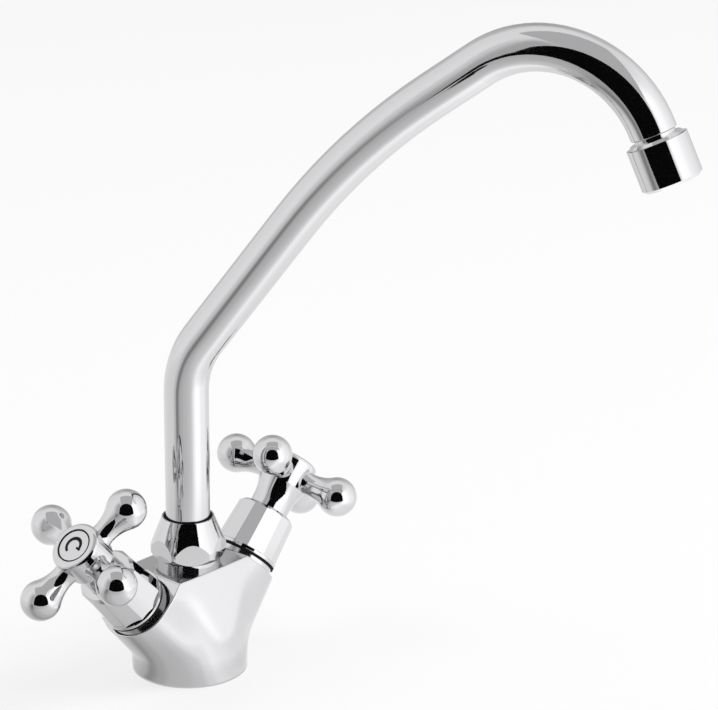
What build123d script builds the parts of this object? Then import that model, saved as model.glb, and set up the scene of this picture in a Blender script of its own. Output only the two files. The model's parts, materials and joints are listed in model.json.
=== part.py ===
from build123d import *
import os
from math import cos, radians, sin

# A two-handle swan-neck tap, in millimetres.
# The origin is the middle of the base, on the surface that the tap stands on. +Z is up, the
# handles lie along X, and -Y is the side of the basin.
# The pieces round a valve are drawn upright on Z and then laid on the tilted axis of their port,
# so their heights are distances along that axis from the point where the two port axes cross.

# Clearances and small shared sizes
THREAD_PLAY = 0.1
RUNNING_PLAY = 0.1
AXIAL_PLAY = 0.3
PRESS_PLAY = 0.05
GASKET_THICKNESS = 0.5

# Body casting
BASE_RADIUS = 22.9
BASE_STRAIGHT_HEIGHT = 12.0
BASE_EDGE_ROUND = 1.0
TOP_FACE_HEIGHT = 46.0

# Ports, one for each valve
PORT_TILT = 43.1
PORT_CROSSING_HEIGHT = 4.15
PORT_FACE = 44.0
PORT_FACE_RADIUS = 14.9
LEG_FOOT_RADIUS = 20.0
LEG_FOOT_HEIGHT = 3.0
LEG_FOOT_SIDE = 1.5
COLLAR_RADIUS = 13.0
COLLAR_HEIGHT = 2.5
COLLAR_ROUND = 0.3
PORT_BORE_RADIUS = 10.1
PORT_FLOOR = 24.0
SEAT_HOLE_RADIUS = 4.0

# Underside of the base
INLET_OFFSET = 11.0
INLET_THREAD_RADIUS = 4.5
INLET_DEPTH = 16.5
STUD_OFFSET = 10.0
STUD_THREAD_RADIUS = 3.4
STUD_DEPTH = 14.0
BASE_SEAL_INNER_RADIUS = 18.6
BASE_SEAL_OUTER_RADIUS = 21.2
BASE_SEAL_THICKNESS = 1.8

# Spout socket, on top of the body
SOCKET_RADIUS = 9.2
SOCKET_FLOOR_HEIGHT = 22.0
CROSS_PASSAGE_RADIUS = 3.0
CROSS_PASSAGE_HEIGHT = 26.5
CROSS_PASSAGE_LENGTH = 28.0
NUT_THREAD_RADIUS = 12.0
NUT_THREAD_HEIGHT = 7.0
THRUST_WASHER_THICKNESS = 1.2
SLIDE_RING_THICKNESS = 1.5

# Spout foot
FOOT_FLANGE_RADIUS = 11.7
FOOT_FLANGE_THICKNESS = 2.0
FOOT_BORE_RADIUS = 6.2
FOOT_SPIGOT_LENGTH = 24.0
FOOT_SLEEVE_LENGTH = 10.0
FOOT_GROOVE_DEPTH = 1.85
FOOT_GROOVE_WIDTH = 2.4
FOOT_GROOVE_SPACING = 8.0
FOOT_GROOVE_DROP = 9.0

# Spout nut, with heights above its foot
NUT_HEIGHT = 19.7
NUT_FOOT_RADIUS = 13.8
NUT_WAIST_RADIUS = 15.3
NUT_WAIST_LOW = 4.0
NUT_WAIST_HIGH = 7.6
NUT_TOP_RADIUS = 10.55
NUT_SIDES = 6
NUT_FLAT_DISTANCE = 13.85
NUT_TURN = -128.5
WIPER_RADIUS = 10.0
WIPER_HEIGHT = 2.2

# Spout tube: a neck, a bend, a long run, an easy bend, a short run and the crook
TUBE_RADIUS = 9.0
TUBE_WALL = 1.2
TUBE_LIP_ROUND = 0.5
SPOUT_SWIVEL = 17.5
NECK_TOP_HEIGHT = 118.7
LOWER_BEND_RADIUS = 38.3
LOWER_SLOPE = 53.2
LOWER_RUN_LENGTH = 66.9
MIDDLE_BEND_RADIUS = 283.0
UPPER_SLOPE = 36.7
UPPER_RUN_LENGTH = 24.1
CROOK_RADIUS = 45.1
OUTLET_SLOPE = -65.5
OUTLET_RUN_LENGTH = 1.5

# Outlet, with lengths along its own axis
FERRULE_SLEEVE_LENGTH = 3.5
FERRULE_BORE_RADIUS = 6.2
FERRULE_NECK_RADIUS = 7.9
FERRULE_NECK_LENGTH = 1.5
FERRULE_COLLAR_TOP_RADIUS = 9.8
FERRULE_COLLAR_RADIUS = 11.0
FERRULE_COLLAR_LENGTH = 1.1
AERATOR_RADIUS = 11.85
AERATOR_LENGTH = 16.7
AERATOR_CHAMFER = 1.1
AERATOR_THREAD_RADIUS = 10.3
AERATOR_THREAD_LENGTH = 6.4
AERATOR_MOUTH_RADIUS = 9.2
AERATOR_LIP = 1.9
AERATOR_SEAL_THICKNESS = 1.0
AERATOR_SEAL_HOLE_RADIUS = 8.0
INSERT_WALL = 1.3
INSERT_PLATE = 1.2
INSERT_HOLE_RADIUS = 0.75
INSERT_HOLE_SPACING = 2.4
INSERT_HOLE_RINGS = 3

# Valve housing, the brass headwork in each port
HEX_FLANGE_RADIUS = 11.6
HEX_FLANGE_THICKNESS = 2.5
HOUSING_NECK_RADIUS = 7.4
HOUSING_TOP = 63.0
HOUSING_WAIST_RADIUS = 9.2
HOUSING_THREAD_LENGTH = 10.0
HOUSING_FOOT = 27.0
DISC_CHAMBER_RADIUS = 8.4
DISC_CHAMBER_TOP = 36.0
DISC_THICKNESS = 2.4
DISC_HOLE_RADIUS = 2.6
DISC_HOLE_OFFSET = 3.9
CLOSED_DISC_TURN = 90.0
SEAT_SEAL_HOLE_RADIUS = 5.0
WINDOW_HEIGHT = 3.0
WINDOW_WIDTH = 7.0

# Bonnet, the faceted shroud over each valve
BONNET_FLANGE_RADIUS = 14.0
BONNET_RING_RADIUS = 13.6
BONNET_RING_THICKNESS = 1.0
BONNET_FLANGE_THICKNESS = 2.2
BONNET_TOP = 68.0
BONNET_FOOT_RADIUS = 13.3
BONNET_TOP_RADIUS = 12.25
BONNET_SIDES = 6
BONNET_BEVEL_HALF_ANGLE = 13.0
BONNET_CHAMFER = 1.3
BONNET_LEFT_TURN = -15.0
BONNET_RIGHT_TURN = -5.4
BONNET_BORE_RADIUS = 10.5
BONNET_THREAD_LENGTH = 6.0
BONNET_HOLE_RADIUS = 6.0

# Spindle, which ends inside the handle's hub, at a depth below its top
SPINDLE_RADIUS = 4.5
SPLINE_RADIUS = 4.0
SPLINE_TEETH = 20
SPLINE_TOOTH_DEPTH = 0.3
SPINDLE_END_DEPTH = 12.8
DRIVER_THICKNESS = 2.2
SPINDLE_GROOVE_DEPTH = 1.3
SPINDLE_GROOVE_WIDTH = 2.0
SPINDLE_GROOVE_HEIGHT = 51.0
SPINDLE_GROOVE_SPACING = 4.5
CLIP_THICKNESS = 1.0
CLIP_RADIUS = 5.6
CLIP_GROOVE_RADIUS = 3.4
CLIP_MOUTH = 4.0

# Handle
ARM_COUNT = 4
ARM_PLANE = 85.1
BALL_RADIUS = 8.17
BALL_REACH = 24.3
ARM_NECK_RADIUS = 4.7
ARM_NECK_REACH = 11.8
ARM_ROOT_BLEND = 8.0
HUB_RADIUS = 10.4
HUB_TOP = 92.8
HUB_EDGE_ROUND = 1.9
HUB_SHOULDER = 80.5
SKIRT_RADIUS = 8.3
SKIRT_STRAIGHT = 3.2
SKIRT_WALL = 1.5
SKIRT_BORE_DEPTH = 4.7
HANDLE_WEB = 4.0
LEFT_HANDLE_TURN = -16.4
RIGHT_HANDLE_TURN = 18.9

# Index button and handle screw
BUTTON_RADIUS = 7.2
BUTTON_RIM = 1.5
BUTTON_DOME = 0.35
BUTTON_RECESS = 1.8
BUTTON_STEM_RADIUS = 4.4
BUTTON_STEM_LENGTH = 3.0
SCREW_RADIUS = 2.0
SCREW_LENGTH = 14.0
SCREW_HEAD_RADIUS = 3.6
SCREW_HEAD_HEIGHT = 2.6
SCREW_SOCKET_RADIUS = 1.4

# Levels that follow from the sizes above
TILT = radians(PORT_TILT)
TOP_ABOVE_CROSSING = TOP_FACE_HEIGHT - PORT_CROSSING_HEIGHT
TOP_FACE_REACH = (PORT_FACE - TOP_ABOVE_CROSSING * cos(TILT)) / sin(TILT)
PORT_FACE_TOP = (TOP_ABOVE_CROSSING - PORT_FACE * cos(TILT)) / sin(TILT)
COLLAR_TOP = PORT_FACE + COLLAR_HEIGHT
HEX_FLANGE_FOOT = COLLAR_TOP + GASKET_THICKNESS
HEX_FLANGE_TOP = HEX_FLANGE_FOOT + HEX_FLANGE_THICKNESS
BONNET_FOOT = COLLAR_TOP + BONNET_RING_THICKNESS
BONNET_PRISM_FOOT = BONNET_FOOT + BONNET_FLANGE_THICKNESS
HANDLE_FOOT = BONNET_TOP + AXIAL_PLAY
SPINDLE_TOP = HUB_TOP - SPINDLE_END_DEPTH
WEB_TOP = SPINDLE_TOP + HANDLE_WEB
BUTTON_FOOT = HUB_TOP - BUTTON_RECESS
DISC_RADIUS = DISC_CHAMBER_RADIUS - RUNNING_PLAY
DRIVER_FOOT = DISC_CHAMBER_TOP - AXIAL_PLAY - DRIVER_THICKNESS
MOVING_DISC_FOOT = DRIVER_FOOT - DISC_THICKNESS
FIXED_DISC_FOOT = MOVING_DISC_FOOT - RUNNING_PLAY - DISC_THICKNESS
SPINDLE_GROOVE_RADIUS = SPINDLE_RADIUS - SPINDLE_GROOVE_DEPTH
CLIP_FOOT = HOUSING_TOP + RUNNING_PLAY
SOCKET_TOP_HEIGHT = TOP_FACE_HEIGHT + NUT_THREAD_HEIGHT
FOOT_FLANGE_HEIGHT = SOCKET_TOP_HEIGHT + THRUST_WASHER_THICKNESS + RUNNING_PLAY
TUBE_FOOT_HEIGHT = FOOT_FLANGE_HEIGHT + FOOT_FLANGE_THICKNESS
SPIGOT_RADIUS = SOCKET_RADIUS - RUNNING_PLAY
SLIDE_RING_FOOT = TUBE_FOOT_HEIGHT + RUNNING_PLAY
SLIDE_RING_TOP = SLIDE_RING_FOOT + SLIDE_RING_THICKNESS
NUT_TOP_HEIGHT = TOP_FACE_HEIGHT + NUT_HEIGHT
WIPER_FOOT = NUT_TOP_HEIGHT - WIPER_HEIGHT
TUBE_BORE_RADIUS = TUBE_RADIUS - TUBE_WALL
COLLAR_END = FERRULE_NECK_LENGTH + FERRULE_COLLAR_LENGTH
AERATOR_THREAD_END = COLLAR_END + AERATOR_THREAD_LENGTH
AERATOR_SEAL_END = AERATOR_THREAD_END + AERATOR_SEAL_THICKNESS
AERATOR_END = COLLAR_END + RUNNING_PLAY + AERATOR_LENGTH
INSERT_END = AERATOR_END - AERATOR_LIP


def disc(radius, low, high):
    """A round disc or bar on Z between two heights."""
    upright = (Align.CENTER, Align.CENTER, Align.MIN)
    return Pos(0, 0, low) * Cylinder(radius, high - low, align=upright)


def taper(low_radius, high_radius, low, high):
    """A cone frustum on Z between two heights."""
    upright = (Align.CENTER, Align.CENTER, Align.MIN)
    return Pos(0, 0, low) * Cone(low_radius, high_radius, high - low, align=upright)


def ring(outer_radius, inner_radius, low, high):
    """A round ring on Z between two heights."""
    return disc(outer_radius, low, high) - disc(inner_radius, low, high)


def turned(*edges):
    """A body turned round Z from the edges of a closed outline that stands on the XZ plane."""
    return revolve(make_face(Wire([edge.edge() for edge in edges])), Axis.Z)


def rubber_ring(inner_radius, outer_radius, height):
    """A rubber ring of round section between two radii, centred on a height."""
    section = (outer_radius - inner_radius) / 2
    return Pos(0, 0, height) * Torus(inner_radius + section, section)


def port_location(side):
    """The frame of one port: Z out along its axis, X towards the basin."""
    direction = (side * sin(TILT), 0, cos(TILT))
    return Plane(origin=(0, 0, PORT_CROSSING_HEIGHT), x_dir=(0, -1, 0), z_dir=direction).location


def body_core():
    """The middle of the casting: a round base, drawn in to the flat top face."""
    base = disc(BASE_RADIUS, 0, BASE_STRAIGHT_HEIGHT)
    base = fillet(base.edges().group_by(Axis.Z)[0], BASE_EDGE_ROUND)
    base_outline = Pos(0, 0, BASE_STRAIGHT_HEIGHT) * Circle(BASE_RADIUS)
    top_rectangle = Rectangle(2 * TOP_FACE_REACH, 2 * PORT_FACE_RADIUS)
    top_outline = Pos(0, 0, TOP_FACE_HEIGHT) * top_rectangle
    return base + loft([base_outline.face(), top_outline.face()])


def port_face_point(side, across, above):
    """A point on a port's face, from the port's axis: across along Y, and above up the face."""
    outward = PORT_FACE * sin(TILT) - above * cos(TILT)
    height = PORT_CROSSING_HEIGHT + PORT_FACE * cos(TILT) + above * sin(TILT)
    return Vector(side * outward, across, height)


def leg_outline(front, front_top, back_top, back, bottom):
    """The edges of an outline with a straight front, top and back, and an arc below them."""
    straight = [Line(front, front_top), Line(front_top, back_top), Line(back_top, back)]
    return [edge.edge() for edge in (*straight, ThreePointArc(back, bottom, front))]


def leg(side):
    """One leg of the casting, ruled from half of the round base up to the face of its port."""
    half_side = LEG_FOOT_RADIUS - LEG_FOOT_SIDE
    foot = leg_outline(
        (0, -LEG_FOOT_RADIUS, LEG_FOOT_HEIGHT),
        (0, -half_side, LEG_FOOT_HEIGHT),
        (0, half_side, LEG_FOOT_HEIGHT),
        (0, LEG_FOOT_RADIUS, LEG_FOOT_HEIGHT),
        (side * LEG_FOOT_RADIUS, 0, LEG_FOOT_HEIGHT),
    )
    face = leg_outline(
        port_face_point(side, -PORT_FACE_RADIUS, 0),
        port_face_point(side, -PORT_FACE_RADIUS, PORT_FACE_TOP),
        port_face_point(side, PORT_FACE_RADIUS, PORT_FACE_TOP),
        port_face_point(side, PORT_FACE_RADIUS, 0),
        port_face_point(side, 0, -PORT_FACE_RADIUS),
    )
    walls = [Face.make_surface_from_curves(low, high) for low, high in zip(foot, face)]
    return Part() + Solid(Shell([*walls, Face(Wire(foot)), Face(Wire(face))]))


def port_collar(side):
    """The short round collar on a port's face, which the bonnet's ring sits on."""
    collar = disc(COLLAR_RADIUS, PORT_FACE - PORT_FACE_RADIUS, COLLAR_TOP)
    return port_location(side) * fillet(collar.edges().group_by(Axis.Z)[-1], COLLAR_ROUND)


def port_passages(side):
    """The stepped bore of one port, and the inlet that comes up to meet it."""
    valve_bore = disc(PORT_BORE_RADIUS, PORT_FLOOR, COLLAR_TOP)
    inlet_meeting = INLET_OFFSET / sin(TILT)
    seat_hole = disc(SEAT_HOLE_RADIUS, inlet_meeting, PORT_FLOOR)
    inlet = Pos(side * INLET_OFFSET, 0, 0) * disc(INLET_THREAD_RADIUS, 0, INLET_DEPTH)
    return port_location(side) * (valve_bore + seat_hole) + inlet


def body_casting():
    """The chromed brass body, with its ports, spout socket and underside."""
    body = body_core()
    for side in (-1, 1):
        body += leg(side) + port_collar(side)
    body += disc(NUT_THREAD_RADIUS, SOCKET_FLOOR_HEIGHT, SOCKET_TOP_HEIGHT)
    body -= disc(SOCKET_RADIUS, SOCKET_FLOOR_HEIGHT, SOCKET_TOP_HEIGHT)
    across = Pos(0, 0, CROSS_PASSAGE_HEIGHT) * Rot(0, 90, 0)
    body -= across * Cylinder(CROSS_PASSAGE_RADIUS, CROSS_PASSAGE_LENGTH)
    seal_groove_radius = BASE_SEAL_OUTER_RADIUS + PRESS_PLAY
    body -= ring(seal_groove_radius, BASE_SEAL_INNER_RADIUS - PRESS_PLAY, 0, BASE_SEAL_THICKNESS)
    body -= Pos(0, STUD_OFFSET, 0) * disc(STUD_THREAD_RADIUS, 0, STUD_DEPTH)
    return body - port_passages(-1) - port_passages(1)


def base_seal():
    """The flat rubber ring let into the underside of the base."""
    return ring(BASE_SEAL_OUTER_RADIUS, BASE_SEAL_INNER_RADIUS, 0, BASE_SEAL_THICKNESS)


def spout_nut():
    """The nut that holds the spout down: a cone over a low foot, with six flats for a spanner."""
    foot_height = TOP_FACE_HEIGHT
    foot = (NUT_FOOT_RADIUS, 0, foot_height)
    waist_low = (NUT_WAIST_RADIUS, 0, foot_height + NUT_WAIST_LOW)
    waist_high = (NUT_WAIST_RADIUS, 0, foot_height + NUT_WAIST_HIGH)
    top = (NUT_TOP_RADIUS, 0, NUT_TOP_HEIGHT)
    nut = turned(
        TangentArc(waist_low, foot, tangent=(0, 0, -1)),
        Line(waist_low, waist_high),
        Line(waist_high, top),
        Line(top, (0, 0, NUT_TOP_HEIGHT)),
        Line((0, 0, NUT_TOP_HEIGHT), (0, 0, foot_height)),
        Line((0, 0, foot_height), foot),
    )
    hexagon = RegularPolygon(NUT_FLAT_DISTANCE, NUT_SIDES, major_radius=False)
    half_side = 180 / NUT_SIDES
    flats = Pos(0, 0, foot_height) * extrude(Rot(0, 0, NUT_TURN + half_side) * hexagon, NUT_HEIGHT)
    nut = nut & flats
    nut -= disc(NUT_THREAD_RADIUS + THREAD_PLAY, foot_height, SLIDE_RING_TOP)
    nut -= disc(TUBE_RADIUS + AXIAL_PLAY, foot_height, NUT_TOP_HEIGHT)
    return nut - disc(WIPER_RADIUS, WIPER_FOOT, NUT_TOP_HEIGHT)


def spout_wiper_ring():
    """The black ring that closes the nut round the tube."""
    return ring(WIPER_RADIUS, TUBE_RADIUS + RUNNING_PLAY, WIPER_FOOT, NUT_TOP_HEIGHT - PRESS_PLAY)


def spout_slide_ring():
    """The low-friction ring between the spout's flange and the nut."""
    return ring(FOOT_FLANGE_RADIUS, TUBE_RADIUS + AXIAL_PLAY, SLIDE_RING_FOOT, SLIDE_RING_TOP)


def spout_thrust_washer():
    """The washer that the spout's flange turns on."""
    thickness_top = SOCKET_TOP_HEIGHT + THRUST_WASHER_THICKNESS
    return ring(FOOT_FLANGE_RADIUS, SOCKET_RADIUS, SOCKET_TOP_HEIGHT, thickness_top)


def foot_groove_heights():
    """The middle heights of the two seal grooves in the spout foot."""
    upper = FOOT_FLANGE_HEIGHT - FOOT_GROOVE_DROP
    return [upper, upper - FOOT_GROOVE_SPACING]


def spout_foot():
    """The turned foot of the spout, which plugs into the body and carries the tube."""
    foot = disc(SPIGOT_RADIUS, FOOT_FLANGE_HEIGHT - FOOT_SPIGOT_LENGTH, FOOT_FLANGE_HEIGHT)
    foot += disc(FOOT_FLANGE_RADIUS, FOOT_FLANGE_HEIGHT, TUBE_FOOT_HEIGHT)
    sleeve_top = TUBE_FOOT_HEIGHT + FOOT_SLEEVE_LENGTH
    foot += disc(TUBE_BORE_RADIUS - PRESS_PLAY, TUBE_FOOT_HEIGHT, sleeve_top)
    groove_radius = SPIGOT_RADIUS - FOOT_GROOVE_DEPTH
    for height in foot_groove_heights():
        low = height - FOOT_GROOVE_WIDTH / 2
        foot -= ring(SOCKET_RADIUS, groove_radius, low, low + FOOT_GROOVE_WIDTH)
    return foot - disc(FOOT_BORE_RADIUS, FOOT_FLANGE_HEIGHT - FOOT_SPIGOT_LENGTH, sleeve_top)


def spout_seals():
    """The two rubber rings in the grooves of the spout foot."""
    groove_radius = SPIGOT_RADIUS - FOOT_GROOVE_DEPTH
    seals = Part()
    for height in foot_groove_heights():
        seals += rubber_ring(groove_radius + PRESS_PLAY, SOCKET_RADIUS - PRESS_PLAY, height)
    return seals


def spout_plane():
    """The upright plane of the spout: X is its reach and Y is height."""
    turn = radians(SPOUT_SWIVEL - 90)
    reach = (cos(turn), sin(turn), 0)
    return Plane(origin=(0, 0, 0), x_dir=reach, z_dir=(sin(turn), -cos(turn), 0))


def spout_path():
    """The centre line of the tube, of straight runs joined by tangent arcs."""
    neck = Line((0, TUBE_FOOT_HEIGHT), (0, NECK_TOP_HEIGHT))
    lower_bend = JernArc(neck @ 1, neck % 1, LOWER_BEND_RADIUS, LOWER_SLOPE - 90)
    lower_run = PolarLine(lower_bend @ 1, LOWER_RUN_LENGTH, LOWER_SLOPE)
    middle_turn = UPPER_SLOPE - LOWER_SLOPE
    middle_bend = JernArc(lower_run @ 1, lower_run % 1, MIDDLE_BEND_RADIUS, middle_turn)
    upper_run = PolarLine(middle_bend @ 1, UPPER_RUN_LENGTH, UPPER_SLOPE)
    crook = JernArc(upper_run @ 1, upper_run % 1, CROOK_RADIUS, OUTLET_SLOPE - UPPER_SLOPE)
    outlet_run = PolarLine(crook @ 1, OUTLET_RUN_LENGTH, OUTLET_SLOPE)
    runs = [neck, lower_bend, lower_run, middle_bend, upper_run, crook, outlet_run]
    return spout_plane().location * Wire([run.edge() for run in runs])


def outlet_location():
    """The frame of the outlet: Z down along its axis, from the end of the tube."""
    path = spout_path()
    return Plane(origin=path @ 1, x_dir=spout_plane().z_dir, z_dir=path % 1).location


def spout_tube():
    """The bent tube of the spout."""
    path = spout_path()
    annulus = Circle(TUBE_RADIUS) - Circle(TUBE_BORE_RADIUS)
    tube = sweep(Plane(origin=path @ 0, z_dir=path % 0) * annulus, path)
    circles = tube.edges().filter_by(GeomType.CIRCLE)
    outer = circles.filter_by(lambda edge: abs(edge.radius - TUBE_RADIUS) < PRESS_PLAY)
    return fillet(outer.sort_by_distance(path @ 1)[0], TUBE_LIP_ROUND)


def spout_ferrule():
    """The threaded end piece of the tube, with a narrow neck and a flared collar."""
    ferrule = disc(TUBE_BORE_RADIUS - PRESS_PLAY, -FERRULE_SLEEVE_LENGTH, 0)
    ferrule += disc(FERRULE_NECK_RADIUS, 0, FERRULE_NECK_LENGTH)
    collar_radii = (FERRULE_COLLAR_TOP_RADIUS, FERRULE_COLLAR_RADIUS)
    ferrule += taper(*collar_radii, FERRULE_NECK_LENGTH, COLLAR_END)
    ferrule += disc(AERATOR_THREAD_RADIUS, COLLAR_END, AERATOR_THREAD_END)
    ferrule -= disc(FERRULE_BORE_RADIUS, -FERRULE_SLEEVE_LENGTH, AERATOR_THREAD_END)
    return outlet_location() * ferrule


def aerator_housing():
    """The screwed casing that holds the aerator in the outlet."""
    foot = COLLAR_END + RUNNING_PLAY
    casing = disc(AERATOR_RADIUS, foot, AERATOR_END)
    casing = chamfer(casing.edges().group_by(Axis.Z)[-1], AERATOR_CHAMFER)
    casing -= disc(AERATOR_THREAD_RADIUS + THREAD_PLAY, foot, INSERT_END)
    return outlet_location() * (casing - disc(AERATOR_MOUTH_RADIUS, foot, AERATOR_END))


def aerator_seal():
    """The rubber washer between the ferrule and the aerator insert."""
    radii = (AERATOR_THREAD_RADIUS, AERATOR_SEAL_HOLE_RADIUS)
    return outlet_location() * ring(*radii, AERATOR_THREAD_END, AERATOR_SEAL_END)


def aerator_insert():
    """The plastic insert, a cup with a drilled plate at its mouth."""
    insert = disc(AERATOR_THREAD_RADIUS, AERATOR_SEAL_END, INSERT_END)
    insert -= disc(AERATOR_THREAD_RADIUS - INSERT_WALL, AERATOR_SEAL_END, INSERT_END - INSERT_PLATE)
    hole = disc(INSERT_HOLE_RADIUS, INSERT_END - INSERT_PLATE, INSERT_END)
    holes = [hole]
    for row in range(1, INSERT_HOLE_RINGS + 1):
        holes += [place * hole for place in PolarLocations(row * INSERT_HOLE_SPACING, 6 * row)]
    return outlet_location() * (insert - holes)


def valve_gasket(side):
    """The fibre washer under the hexagon of the valve housing."""
    gasket = ring(HEX_FLANGE_RADIUS, PORT_BORE_RADIUS, COLLAR_TOP, HEX_FLANGE_FOOT)
    return port_location(side) * gasket


def valve_housing(side):
    """The brass headwork that screws into the port and holds the discs and the spindle."""
    thread_foot = COLLAR_TOP - HOUSING_THREAD_LENGTH
    housing = disc(HOUSING_WAIST_RADIUS, HOUSING_FOOT, thread_foot)
    housing += disc(PORT_BORE_RADIUS - THREAD_PLAY, thread_foot, HEX_FLANGE_FOOT)
    hexagon = Pos(0, 0, HEX_FLANGE_FOOT) * RegularPolygon(HEX_FLANGE_RADIUS, 6)
    housing += extrude(hexagon, HEX_FLANGE_THICKNESS)
    housing += disc(HOUSING_NECK_RADIUS, HEX_FLANGE_TOP, HOUSING_TOP)
    housing -= disc(DISC_CHAMBER_RADIUS, HOUSING_FOOT, DISC_CHAMBER_TOP)
    housing -= disc(SPINDLE_RADIUS + RUNNING_PLAY, DISC_CHAMBER_TOP, HOUSING_TOP)
    across = 2 * PORT_BORE_RADIUS
    upright = (Align.CENTER, Align.CENTER, Align.MIN)
    for turn in (0, 90):
        window = Box(across, WINDOW_WIDTH, WINDOW_HEIGHT, align=upright)
        housing -= Rot(0, 0, turn) * Pos(0, 0, MOVING_DISC_FOOT) * window
    return port_location(side) * housing


def ceramic_disc(low):
    """A ceramic disc with two opposite water holes."""
    plate = disc(DISC_RADIUS, low, low + DISC_THICKNESS)
    hole = disc(DISC_HOLE_RADIUS, low, low + DISC_THICKNESS)
    return plate - [place * hole for place in PolarLocations(DISC_HOLE_OFFSET, 2)]


def fixed_disc(side):
    """The ceramic disc that stays still in the housing."""
    return port_location(side) * ceramic_disc(FIXED_DISC_FOOT)


def seat_seal(side):
    """The rubber seat between the floor of the port and the fixed disc."""
    seal = ring(DISC_RADIUS, SEAT_SEAL_HOLE_RADIUS, PORT_FLOOR, FIXED_DISC_FOOT)
    return port_location(side) * seal


def bonnet_ring(side):
    """The rubber ring between the collar of the port and the bonnet."""
    inner_radius = HEX_FLANGE_RADIUS + AXIAL_PLAY
    return port_location(side) * ring(BONNET_RING_RADIUS, inner_radius, COLLAR_TOP, BONNET_FOOT)


def bonnet_section(radius, height, turn):
    """The twelve-sided section of the bonnet: six sides with bevelled corners between them."""
    corners = []
    for number in range(BONNET_SIDES):
        corner = turn + number * 360 / BONNET_SIDES
        for angle in (corner - BONNET_BEVEL_HALF_ANGLE, corner + BONNET_BEVEL_HALF_ANGLE):
            corners.append((radius * cos(radians(angle)), radius * sin(radians(angle))))
    return (Pos(0, 0, height) * make_face(Polyline(corners, close=True))).face()


def bonnet(side, turn):
    """The tapered shroud over the valve, with a round flange and a rounded top edge."""
    foot = bonnet_section(BONNET_FOOT_RADIUS, BONNET_PRISM_FOOT, turn)
    top = bonnet_section(BONNET_TOP_RADIUS, BONNET_TOP, turn)
    prism = loft([foot, top], ruled=True)
    cap_foot = BONNET_TOP - BONNET_CHAMFER
    cap = taper(BONNET_TOP_RADIUS, BONNET_TOP_RADIUS - BONNET_CHAMFER, cap_foot, BONNET_TOP)
    prism = prism & (disc(BONNET_FLANGE_RADIUS, BONNET_PRISM_FOOT, cap_foot) + cap)
    shroud = prism + disc(BONNET_FLANGE_RADIUS, BONNET_FOOT, BONNET_PRISM_FOOT)
    thread_foot = HOUSING_TOP - BONNET_THREAD_LENGTH
    shroud -= disc(HEX_FLANGE_RADIUS + AXIAL_PLAY, BONNET_FOOT, HEX_FLANGE_TOP + AXIAL_PLAY)
    shroud -= disc(BONNET_BORE_RADIUS, BONNET_FOOT, thread_foot)
    shroud -= disc(HOUSING_NECK_RADIUS + THREAD_PLAY, thread_foot, HOUSING_TOP + AXIAL_PLAY)
    return port_location(side) * (shroud - disc(BONNET_HOLE_RADIUS, HOUSING_TOP, BONNET_TOP))


def spindle_groove_heights():
    """The middle heights of the two seal grooves in the spindle."""
    return [SPINDLE_GROOVE_HEIGHT, SPINDLE_GROOVE_HEIGHT + SPINDLE_GROOVE_SPACING]


def spindle(side):
    """The valve spindle: driver, shaft with seal and clip grooves, and splined end."""
    shaft_top = CLIP_FOOT + 2 * CLIP_THICKNESS
    stem = disc(DISC_RADIUS, DRIVER_FOOT, DRIVER_FOOT + DRIVER_THICKNESS)
    stem += disc(SPINDLE_RADIUS, DRIVER_FOOT, shaft_top)
    stem += disc(SPLINE_RADIUS, shaft_top, SPINDLE_TOP)
    for height in spindle_groove_heights():
        low = height - SPINDLE_GROOVE_WIDTH / 2
        stem -= ring(SPINDLE_RADIUS, SPINDLE_GROOVE_RADIUS, low, low + SPINDLE_GROOVE_WIDTH)
    stem -= ring(SPINDLE_RADIUS, CLIP_GROOVE_RADIUS, CLIP_FOOT, CLIP_FOOT + CLIP_THICKNESS)
    flute = disc(SPLINE_TOOTH_DEPTH, shaft_top, SPINDLE_TOP)
    stem -= [place * flute for place in PolarLocations(SPLINE_RADIUS, SPLINE_TEETH)]
    stem -= disc(SCREW_RADIUS + THREAD_PLAY, WEB_TOP - SCREW_LENGTH - AXIAL_PLAY, SPINDLE_TOP)
    return port_location(side) * stem


def spindle_seals(side):
    """The two rubber rings on the spindle."""
    seals = Part()
    for height in spindle_groove_heights():
        seals += rubber_ring(SPINDLE_GROOVE_RADIUS + PRESS_PLAY, SPINDLE_RADIUS + PRESS_PLAY, height)
    return port_location(side) * seals


def spindle_clip(side):
    """The open spring clip that keeps the spindle in its housing."""
    clip = ring(CLIP_RADIUS, CLIP_GROOVE_RADIUS + PRESS_PLAY, CLIP_FOOT, CLIP_FOOT + CLIP_THICKNESS)
    align = (Align.MIN, Align.CENTER, Align.MIN)
    clip -= Pos(0, 0, CLIP_FOOT) * Box(CLIP_RADIUS, CLIP_MOUTH, CLIP_THICKNESS, align=align)
    return port_location(side) * clip


def moving_disc(side):
    """The ceramic disc that the spindle turns over the fixed one, a quarter turn off it: closed."""
    return port_location(side) * Rot(0, 0, CLOSED_DISC_TURN) * ceramic_disc(MOVING_DISC_FOOT)


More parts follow.
